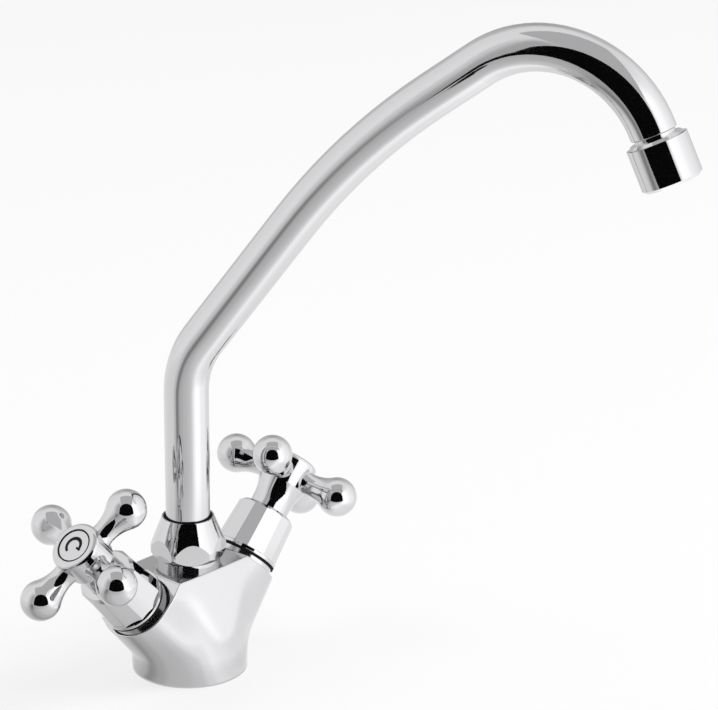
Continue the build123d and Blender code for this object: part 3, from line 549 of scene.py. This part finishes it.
# %% Sizes of the casting, in millimetres
MM = 0.001
BASE_RADIUS, BASE_STRAIGHT_HEIGHT = 23.7, 13.0
TOP_FACE_HEIGHT, TOP_FACE_REACH = 46.0, 19.7
TOP_LEAN = 0.235
PORT_TILT = math.radians(43.1)
PORT_CROSSING_HEIGHT = 4.15
PORT_FACE, PORT_FACE_RADIUS, PORT_FACE_TOP = 44.0, 14.9, 14.3
LEG_FOOT_RADIUS, LEG_FOOT_HEIGHT = 20.0, 3.0
SPARE = 8.0
RING_POINTS = 96

def port_frame(side):
    """The frame of a port, with Z out along its axis and X towards the basin."""
    outwards = Vector((side * math.sin(PORT_TILT), 0, math.cos(PORT_TILT)))
    towards_basin = Vector((0, -1, 0))
    turn = Matrix((towards_basin, outwards.cross(towards_basin), outwards)).transposed().to_4x4()
    return Matrix.Translation((0, 0, PORT_CROSSING_HEIGHT)) @ turn


print("port axis of the left valve", port_frame(-1).col[2][:3])

# %% Rough forms of the casting
def level(height):
    """The place of a ring that lies level at a height."""
    return Matrix.Translation((0, 0, height))


def stretched_shell(rings, corners=()):
    """A closed shell stretched over rings of points, each (radius, place), and loose corners."""
    maker = bmesh.new()
    for radius, place in rings:
        bmesh.ops.create_circle(maker, radius=radius, segments=RING_POINTS, matrix=place)
    for corner in corners:
        maker.verts.new(corner)
    skin = bmesh.ops.convex_hull(maker, input=maker.verts)
    inside = [part for part in skin["geom_interior"] if isinstance(part, bmesh.types.BMVert)]
    bmesh.ops.delete(maker, geom=inside, context="VERTS")
    mesh = bpy.data.meshes.new("shell")
    maker.to_mesh(mesh)
    maker.free()
    return mesh


def top_corners():
    """The corners of the top face, carried on upwards along the lean of its sides."""
    half_depth = PORT_FACE_RADIUS - TOP_LEAN * SPARE
    height = TOP_FACE_HEIGHT + SPARE
    return [(x * TOP_FACE_REACH, y * half_depth, height) for x in (-1, 1) for y in (-1, 1)]


def leg_shell(side):
    """One leg, from the round foot up to its port and on past it."""
    frame_of_port = port_frame(side)
    rings = [(LEG_FOOT_RADIUS, level(LEG_FOOT_HEIGHT))]
    corners = []
    for reach in (PORT_FACE, PORT_FACE + SPARE):
        rings.append((PORT_FACE_RADIUS, frame_of_port @ level(reach)))
        for across in (-PORT_FACE_RADIUS, PORT_FACE_RADIUS):
            corners.append(frame_of_port @ Vector((across, -side * PORT_FACE_TOP, reach)))
    return stretched_shell(rings, corners)


rough = bmesh.new()
rough.from_mesh(stretched_shell([(BASE_RADIUS, level(-SPARE)),
                                 (BASE_RADIUS, level(BASE_STRAIGHT_HEIGHT))]))
rough.from_mesh(stretched_shell([(BASE_RADIUS, level(BASE_STRAIGHT_HEIGHT))], top_corners()))
for side in (-1, 1):
    rough.from_mesh(leg_shell(side))
print("rough forms:", len(rough.faces), "faces")

# %% Melt the forms together and smooth them
VOXEL = 0.7
SMOOTH_ROUNDS = 80

def settled(piece):
    """A piece's mesh with its modifiers applied, as a bmesh. The piece itself is removed."""
    bpy.context.view_layer.update()
    seen = piece.evaluated_get(bpy.context.evaluated_depsgraph_get())
    maker = bmesh.new()
    maker.from_mesh(bpy.data.meshes.new_from_object(seen))
    bpy.data.objects.remove(piece)
    return maker


rough_piece = finish_mesh("rough_body", rough, chrome)
melt = rough_piece.modifiers.new("melt", "REMESH")
melt.mode = "VOXEL"
melt.voxel_size = VOXEL
skin = settled(rough_piece)
for _ in range(SMOOTH_ROUNDS):
    bmesh.ops.smooth_vert(skin, verts=skin.verts, factor=1.0,
                          use_axis_x=True, use_axis_y=True, use_axis_z=True)
print("skin:", len(skin.verts), "points")

# %% [markdown]
# Each flat face is cut a little low. The rim of the cut is then grown upwards in steps, each point
# on an arc that starts in the skin's own direction and ends level with the face, so that the
# round is tangent to both however steeply the skin meets the face.

# %% Cut the flat faces and round their edges
TOP_ROUND, PORT_ROUND, FOOT_ROUND = 0.7, 0.5, 0.15
ROUND_STEPS = 5
SLIVER, TOUCH = 0.3, 1e-4

def take_off(maker, point, outwards):
    """Takes off all that lies outside a plane: returns the edges of the cut."""
    cut = bmesh.ops.bisect_plane(maker, geom=[*maker.verts, *maker.edges, *maker.faces], dist=TOUCH,
                                 plane_co=point, plane_no=outwards, clear_outer=True)
    return [part for part in cut["geom_cut"] if isinstance(part, bmesh.types.BMEdge)]


def walked(rim):
    """The points of a closed rim of edges, in their order round it."""
    start = rim[0].verts[0]
    points, edge = [start], rim[0]
    while edge.other_vert(points[-1]) is not start:
        points.append(edge.other_vert(points[-1]))
        edge = next(other for other in points[-1].link_edges
                    if other.is_boundary and other is not edge)
    return points


def evened(values, rounds=6):
    """A closed row of numbers, with each one drawn towards its neighbours."""
    for _ in range(rounds):
        values = [(values[place - 1] + value + values[(place + 1) % len(values)]) / 3
                  for place, value in enumerate(values)]
    return values


def skin_directions(points, outwards):
    """At each point of a rim, the direction in which the skin faces, free of the mesh's unevenness."""
    sideways = []
    for place, point in enumerate(points):
        along = points[(place + 1) % len(points)].co - points[place - 1].co
        across = along.cross(outwards).normalized()
        sideways.append(across if across.dot(point.normal) > 0 else -across)
    leans = evened([point.normal.dot(outwards) for point in points])
    return [across * math.sqrt(1 - lean ** 2) + outwards * lean
            for across, lean in zip(sideways, leans)]


def cut_face(maker, point, outwards, depth):
    """Cuts the skin at a plane a little below the face, and rolls its rim over to the face."""
    outwards = Vector(outwards).normalized()
    cut_at = Vector(point) - outwards * depth
    take_off(maker, cut_at, outwards)
    near = [corner for corner in maker.verts if (corner.co - cut_at).dot(outwards) > -2 * SLIVER]
    bmesh.ops.remove_doubles(maker, verts=near, dist=SLIVER)
    rim = [edge for edge in maker.edges if edge.is_boundary]
    points = walked(rim)
    for corner in points:
        corner.co -= outwards * (corner.co - cut_at).dot(outwards)
    maker.normal_update()
    facings = skin_directions(points, outwards)
    starts = [corner.co.copy() for corner in points]
    for step in range(1, ROUND_STEPS + 1):
        grown = bmesh.ops.extrude_edge_only(maker, edges=rim)["geom"]
        rim = [part for part in grown if isinstance(part, bmesh.types.BMEdge)]
        fresh = {part for part in grown if isinstance(part, bmesh.types.BMVert)}
        points = [next(edge.other_vert(corner) for edge in corner.link_edges
                       if edge.other_vert(corner) in fresh) for corner in points]
        for corner, begin, facing_out in zip(points, starts, facings):
            radius = depth / (1 - facing_out.dot(outwards))
            corner.co = begin + radius * (facing_out.slerp(outwards, step / ROUND_STEPS) - facing_out)
    bmesh.ops.contextual_create(maker, geom=rim)


cut_face(skin, (0, 0, TOP_FACE_HEIGHT), (0, 0, 1), TOP_ROUND)
cut_face(skin, (0, 0, 0), (0, 0, -1), FOOT_ROUND)
for side in (-1, 1):
    axis = port_frame(side).col[2].to_3d()
    cut_face(skin, Vector((0, 0, PORT_CROSSING_HEIGHT)) + axis * PORT_FACE, axis, PORT_ROUND)
print("skin after the cuts:", len(skin.faces), "faces")

# %% [markdown]
# The collars under the bonnets and the threaded neck under the nut are joined on, rooted a little
# way in the casting. Then the bores go in, each tool reaching a little past the face it opens.

# %% Collars, bores and holes
ROOT, PAST = 6.0, 1.0
COLLAR_RADIUS, COLLAR_TOP = 13.0, 46.5
PORT_BORE_RADIUS, PORT_FLOOR = 10.1, 24.0
SEAT_HOLE_RADIUS = 4.0
INLET_OFFSET, INLET_RADIUS, INLET_DEPTH = 11.0, 4.5, 16.5
STUD_OFFSET, STUD_RADIUS, STUD_DEPTH = 10.0, 3.4, 14.0
GROOVE_INNER, GROOVE_OUTER, GROOVE_DEPTH = 18.55, 21.25, 1.8
SOCKET_RADIUS, SOCKET_FLOOR, SOCKET_TOP = 9.2, 22.0, 53.0
NUT_THREAD_RADIUS, THREAD_CLEARANCE = 12.0, 0.1
PASSAGE_RADIUS, PASSAGE_HEIGHT, PASSAGE_LENGTH = 3.0, 26.5, 28.0

def turned_shell(outline, place=Matrix.Identity(4)):
    """A closed shell turned round Z from (radius, height) points, then laid in place."""
    maker = bmesh.new()
    points = [maker.verts.new((radius, 0, height)) for radius, height in outline]
    edges = [maker.edges.new(pair) for pair in zip(points, points[1:] + points[:1])]
    bmesh.ops.spin(maker, geom=[*points, *edges], cent=(0, 0, 0), axis=(0, 0, 1),
                   angle=2 * math.pi, steps=RING_POINTS, use_merge=True)
    bmesh.ops.remove_doubles(maker, verts=maker.verts, dist=TOUCH)
    bmesh.ops.dissolve_degenerate(maker, dist=TOUCH / 10, edges=maker.edges)
    bmesh.ops.transform(maker, verts=maker.verts, matrix=place)
    return maker


def bar(radius, low, high, place=Matrix.Identity(4)):
    """A round bar between two heights, laid in place."""
    return turned_shell([(0, low), (radius, low), (radius, high), (0, high)], place)


def hollows(side):
    """The bore, seat hole and inlet of one valve."""
    frame_of_port = port_frame(side)
    meeting = INLET_OFFSET / math.sin(PORT_TILT)
    return [
        bar(PORT_BORE_RADIUS, PORT_FLOOR, COLLAR_TOP + SPARE, frame_of_port),
        bar(SEAT_HOLE_RADIUS, meeting, PORT_FLOOR + PAST, frame_of_port),
        bar(INLET_RADIUS, -PAST, INLET_DEPTH, Matrix.Translation((side * INLET_OFFSET, 0, 0))),
    ]


def combined(piece, maker, operation):
    """The piece with another shell added to it or taken from it."""
    tool = finish_mesh("tool", maker, chrome)
    change = piece.modifiers.new("change", "BOOLEAN")
    change.operation = operation
    change.solver = "MANIFOLD"
    change.object = tool
    result = finish_mesh(piece.name, settled(piece), chrome)
    bpy.data.objects.remove(tool)
    return result


casting = finish_mesh("cast_body", skin, chrome)
collars = [bar(COLLAR_RADIUS, PORT_FACE - ROOT, COLLAR_TOP, port_frame(side)) for side in (-1, 1)]
for addition in (bar(NUT_THREAD_RADIUS, TOP_FACE_HEIGHT - ROOT, SOCKET_TOP), *collars):
    casting = combined(casting, addition, "UNION")
lying = Matrix.Translation((0, 0, PASSAGE_HEIGHT)) @ Matrix.Rotation(math.pi / 2, 4, "Y")
groove = [(GROOVE_INNER, -PAST), (GROOVE_OUTER, -PAST), (GROOVE_OUTER, GROOVE_DEPTH),
          (GROOVE_INNER, GROOVE_DEPTH)]
cutters = [
    bar(SOCKET_RADIUS, SOCKET_FLOOR, SOCKET_TOP + PAST),
    bar(PASSAGE_RADIUS, -PASSAGE_LENGTH / 2, PASSAGE_LENGTH / 2, lying),
    bar(STUD_RADIUS, -PAST, STUD_DEPTH, Matrix.Translation((0, STUD_OFFSET, 0))),
    turned_shell(groove), *hollows(-1), *hollows(1),
]
for cutter in cutters:
    casting = combined(casting, cutter, "DIFFERENCE")
print("casting:", len(casting.data.polygons), "faces")

# %% Scale the casting to metres and shade it
CAST_SHARP_ANGLE, MILLED_SHARP_ANGLE = math.radians(35), math.radians(12)

def finished_part(piece, name, node, sharp_angle, material):
    """Scales a part drawn in millimetres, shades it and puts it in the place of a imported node."""
    piece.name = name
    piece.data.transform(Matrix.Scale(MM, 4))
    piece.data.set_sharp_from_angle(angle=sharp_angle)
    piece.data.materials[0] = material
    weigh = piece.modifiers.new("flat_faces_stay_flat", "WEIGHTED_NORMAL")
    weigh.keep_sharp = True
    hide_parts(node)
    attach(piece, "body")
    return piece


finished_part(casting, "cast_body", "body_casting", CAST_SHARP_ANGLE, soft_chrome)
casting_box = [tuple(round(value, 4) for value in corner) for corner in casting.bound_box]
print("casting from", casting_box[0], "to", casting_box[6])

# %% [markdown]
# ## The spout nut
# The nut that holds the spout down is turned from bar: a short straight neck on the body, a flare
# out to the waist and a long cone up to the tube. Six flats for a spanner are milled across its
# waist, and because they cut a round surface each one comes out as a closed oval. So it is modelled
# in the order of the real work: an outline is spun round, then planes take off the flats. The
# square corner between its neck and the body mirrors whatever stands behind the camera, which
# draws the black line under the nut.

# %% Spout nut
NUT_FOOT_RADIUS, NUT_NECK_TOP = 12.75, 48.6
NUT_FLARE_RADIUS, NUT_FLARE = 13.6, 48.9
NUT_WAIST_RADIUS, NUT_WAIST_LOW, NUT_WAIST_HIGH = 15.3, 50.9, 53.6
NUT_TOP_RADIUS, NUT_TOP = 10.55, 65.7
NUT_FLATS, NUT_FLAT_DISTANCE, NUT_TURN = 6, 13.66, math.radians(-128.5)
WIPER_RADIUS, WIPER_FOOT = 10.0, 63.5
NUT_BORE_RADIUS, NUT_THREAD_TOP = 9.3, 57.9
NUT_HOLE_RADIUS = NUT_THREAD_RADIUS + THREAD_CLEARANCE

nut_maker = turned_shell([
    (NUT_FOOT_RADIUS, TOP_FACE_HEIGHT), (NUT_FOOT_RADIUS, NUT_NECK_TOP),
    (NUT_FLARE_RADIUS, NUT_FLARE),
    (NUT_WAIST_RADIUS, NUT_WAIST_LOW), (NUT_WAIST_RADIUS, NUT_WAIST_HIGH),
    (NUT_TOP_RADIUS, NUT_TOP), (WIPER_RADIUS, NUT_TOP), (WIPER_RADIUS, WIPER_FOOT),
    (NUT_BORE_RADIUS, WIPER_FOOT), (NUT_BORE_RADIUS, NUT_THREAD_TOP),
    (NUT_HOLE_RADIUS, NUT_THREAD_TOP), (NUT_HOLE_RADIUS, TOP_FACE_HEIGHT),
])
for number in range(NUT_FLATS):
    angle = NUT_TURN + number * 2 * math.pi / NUT_FLATS
    facing_out = Vector((math.cos(angle), math.sin(angle), 0))
    oval = take_off(nut_maker, facing_out * NUT_FLAT_DISTANCE, facing_out)
    bmesh.ops.contextual_create(nut_maker, geom=oval)
nut = finish_mesh("nut", nut_maker, chrome)
finished_part(nut, "cone_nut", "spout_nut", MILLED_SHARP_ANGLE, chrome)
print("nut:", len(nut.data.polygons), "faces")

# %% [markdown]
# ## The bonnets
# A bonnet is the tapered shroud over each valve: six broad sides with a bevel at every corner, and
# a thin round rim at the foot that the sides run out into. It is a six-sided block whose upright
# edges are bevelled and whose top is drawn in, joined to a turned rim and trimmed by a turned
# outline that gives the top its chamfer. The bore for the valve housing is cut out last.

# %% Bonnets
BONNET_SIDES, BONNET_FOOT, BONNET_HEIGHT = 6, 47.5, 20.5
BONNET_TOP = BONNET_FOOT + BONNET_HEIGHT
BONNET_FOOT_RADIUS, BONNET_TOP_RADIUS = 13.45, 12.25
BEVEL_HALF_ANGLE = math.radians(13.0)
BONNET_CHAMFER, BONNET_EDGE = 1.3, 0.3
RIM_RADIUS, RIM_THICKNESS, RIM_ROUND = 13.75, 1.5, 0.2
BONNET_TURNS = {-1: math.radians(-15.0), 1: math.radians(-5.4)}
BONNET_HOLLOW = [(11.9, 49.8), (10.5, 57.0), (7.5, 63.3), (6.0, 69.0)]

def bevelled_uprights(maker, width, steps):
    """Bevels the upright edges of a block."""
    upright = [edge for edge in maker.edges
               if abs(edge.verts[0].co.z - edge.verts[1].co.z) > BONNET_HEIGHT / 2]
    bmesh.ops.bevel(maker, geom=upright, offset=width, segments=steps, profile=0.5,
                    affect="EDGES", material=-1, clamp_overlap=True)


def bonnet_sides(turn):
    """The six tapered sides with bevelled corners."""
    half_side = math.pi / BONNET_SIDES
    across = BONNET_FOOT_RADIUS * math.cos(half_side - BEVEL_HALF_ANGLE)
    corner_radius = across / math.cos(half_side)
    bevel_width = corner_radius * math.sin(half_side) \
        - BONNET_FOOT_RADIUS * math.sin(half_side - BEVEL_HALF_ANGLE)
    maker = bmesh.new()
    bmesh.ops.create_cone(maker, cap_ends=True, segments=BONNET_SIDES, depth=BONNET_HEIGHT,
                          radius1=corner_radius, radius2=corner_radius,
                          matrix=level(BONNET_FOOT + BONNET_HEIGHT / 2))
    bevelled_uprights(maker, bevel_width, steps=1)
    bevelled_uprights(maker, BONNET_EDGE, steps=2)
    top = [corner for corner in maker.verts if corner.co.z > BONNET_FOOT + BONNET_HEIGHT / 2]
    taper = BONNET_TOP_RADIUS / BONNET_FOOT_RADIUS
    bmesh.ops.scale(maker, verts=top, vec=(taper, taper, 1))
    bmesh.ops.rotate(maker, verts=maker.verts, matrix=Matrix.Rotation(turn, 3, "Z"))
    return maker


def bonnet_hollow():
    """The stepped bore for the valve housing."""
    height = BONNET_FOOT - PAST
    outline = [(0, height)]
    for radius, top in BONNET_HOLLOW:
        outline += [(radius, height), (radius, top)]
        height = top
    return turned_shell(outline + [(0, height)])


def bonnet_rim():
    """The thin round rim at the foot."""
    rim_top = BONNET_FOOT + RIM_THICKNESS
    return turned_shell([
        (0, BONNET_FOOT), (RIM_RADIUS - RIM_ROUND / 2, BONNET_FOOT),
        (RIM_RADIUS, BONNET_FOOT + RIM_ROUND), (RIM_RADIUS, rim_top - RIM_ROUND),
        (RIM_RADIUS - RIM_ROUND, rim_top), (0, rim_top),
    ])


def bonnet_envelope():
    """The turned outline that bounds the bonnet and gives its top the chamfer."""
    chamfer_foot = BONNET_TOP - BONNET_CHAMFER
    return turned_shell([
        (0, BONNET_FOOT - PAST), (RIM_RADIUS + PAST, BONNET_FOOT - PAST),
        (RIM_RADIUS + PAST, chamfer_foot), (BONNET_TOP_RADIUS, chamfer_foot),
        (BONNET_TOP_RADIUS - BONNET_CHAMFER, BONNET_TOP), (0, BONNET_TOP),
    ])


for side, name in ((-1, "left"), (1, "right")):
    turn = BONNET_TURNS[side] + math.pi / BONNET_SIDES
    shroud = finish_mesh("sides", bonnet_sides(turn), chrome)
    shroud = combined(shroud, bonnet_rim(), "UNION")
    shroud = combined(shroud, bonnet_envelope(), "INTERSECT")
    shroud = combined(shroud, bonnet_hollow(), "DIFFERENCE")
    shroud.data.transform(port_frame(side))
    finished_part(shroud, name + "_bonnet_shroud", name + "_bonnet", MILLED_SHARP_ANGLE, chrome)
    print(shroud.name, len(shroud.data.polygons), "faces")

# %% [markdown]
# ## The index marks and the painted shade rings
# Each button carries a letter, printed in the enamel of its face, and a thin black ring of painted
# shade round the edge of that face, where the gap between button and hub lies in shadow. Flat
# strokes are drawn on a level plane, given a little thickness and then laid over the dome of the
# button by lifting every point to the dome's height. The letter that can be read in the picture is
# a C, whose back is thicker than its ends: its inner arc is shifted towards the opening.

# %% Black enamel for the letters, and black paint for the painted shade ring
FINISHES["enamel"] = grained("black_enamel", (0.004, 0.004, 0.004, 1), 0.0, 0.35, 3000, 0.05,
                             gloss=0.1)
BUTTON_RADIUS, BUTTON_RIM_TOP, BUTTON_DOME = 7.2, 92.5, 0.35
MARK_PROUD, MARK_DEPTH = 0.03, 0.15
# The black ring is painted shade: it stands for the shadowed gap between the button and the hub.
SHADE_RING_INNER, SHADE_RING_OUTER = 6.55, 7.15
NEARLY = 1e-3

def dome_height(radius):
    """The height of the button's domed face at a distance from its middle."""
    dome_radius = (BUTTON_RADIUS ** 2 + BUTTON_DOME ** 2) / (2 * BUTTON_DOME)
    return BUTTON_RIM_TOP + BUTTON_DOME - dome_radius + math.sqrt(dome_radius ** 2 - radius ** 2)


def stroke_arc(maker, inner, outer, start, sweep, steps):
    """A flat curved stroke between two radii: returns the points of its inner side."""
    turn = Matrix.Rotation(start, 3, "Z")
    ends = [maker.verts.new(turn @ Vector((radius, 0, 0))) for radius in (inner, outer)]
    whole = abs(sweep - 2 * math.pi) < NEARLY
    bmesh.ops.spin(maker, geom=[*ends, maker.edges.new(ends)], cent=(0, 0, 0), axis=(0, 0, 1),
                   angle=sweep, steps=steps, use_merge=whole)
    return [corner for corner in maker.verts if abs(corner.co.length - inner) < NEARLY]


print("dome top", round(dome_height(0), 3), "mm")

# %% Letters C and F
C_INNER, C_OUTER, C_SHIFT = 2.6, 3.85, 0.25
C_START, C_SWEEP, C_STEPS = math.radians(-10), math.radians(254), 40
C_OPENING = math.radians(-63)
SERIF_ANGLE = math.radians(-14)
SERIF_REACH, SERIF_LENGTH, SERIF_WIDTH = 3.0, 2.3, 0.95
F_OUTLINE = [
    (-1.9, -2.6), (0.3, -2.6), (0.3, -2.2), (-0.3, -2.1), (-0.3, -0.1), (1.2, -0.1), (1.2, 0.4),
    (-0.3, 0.4), (-0.3, 2.1), (1.7, 2.1), (1.7, 1.4), (2.0, 1.4), (2.0, 2.6), (-1.9, 2.6),
    (-1.9, 2.2), (-1.3, 2.1), (-1.3, -2.1), (-1.9, -2.2),
]
F_TURN = math.radians(-117)

def letter_c(maker):
    """The C: a crescent stroke, and a serif at its upper end."""
    inner_side = stroke_arc(maker, C_INNER, C_OUTER, C_START, C_SWEEP, C_STEPS)
    shift = Matrix.Rotation(C_OPENING, 3, "Z") @ Vector((C_SHIFT, 0, 0))
    bmesh.ops.translate(maker, verts=inner_side, vec=shift)
    serif = bmesh.ops.create_grid(maker, x_segments=3, y_segments=1, size=0.5)["verts"]
    bmesh.ops.scale(maker, verts=serif, vec=(SERIF_LENGTH, SERIF_WIDTH, 1))
    bmesh.ops.translate(maker, verts=serif, vec=(SERIF_REACH, 0, 0))
    bmesh.ops.rotate(maker, verts=serif, matrix=Matrix.Rotation(SERIF_ANGLE, 3, "Z"))


def letter_f(maker):
    """The F: its outline, filled."""
    turn = Matrix.Rotation(F_TURN, 3, "Z")
    corners = [maker.verts.new(turn @ Vector((x, y, 0))) for x, y in F_OUTLINE]
    face = bmesh.ops.contextual_create(maker, geom=corners)["faces"]
    bmesh.ops.triangulate(maker, faces=face)


for side, name, letter in ((-1, "left", letter_c), (1, "right", letter_f)):
    mark_maker = bmesh.new()
    letter(mark_maker)
    # The ring round the face is painted shade, standing for the shadowed gap between button and hub.
    stroke_arc(mark_maker, SHADE_RING_INNER, SHADE_RING_OUTER, 0, 2 * math.pi, RING_POINTS)
    grown = bmesh.ops.extrude_face_region(mark_maker, geom=mark_maker.faces[:])["geom"]
    raised = {part for part in grown if isinstance(part, bmesh.types.BMVert)}
    for corner in mark_maker.verts:
        lift = MARK_PROUD if corner in raised else MARK_PROUD - MARK_DEPTH
        corner.co.z = dome_height(corner.co.xy.length) + lift
    bmesh.ops.transform(mark_maker, verts=mark_maker.verts,
                        matrix=Matrix.Scale(MM, 4) @ port_frame(side))
    # Each piece holds the printed letter and the ring of painted shade.
    mark = finish_mesh(name + "_letter_and_shade_ring", mark_maker, FINISHES["enamel"], smooth=False)
    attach(mark, name + "_handle_set")
    print(mark.name, len(mark.data.polygons), "faces")

# %% Picture settings
bpy.context.scene.view_settings.view_transform = "Standard"
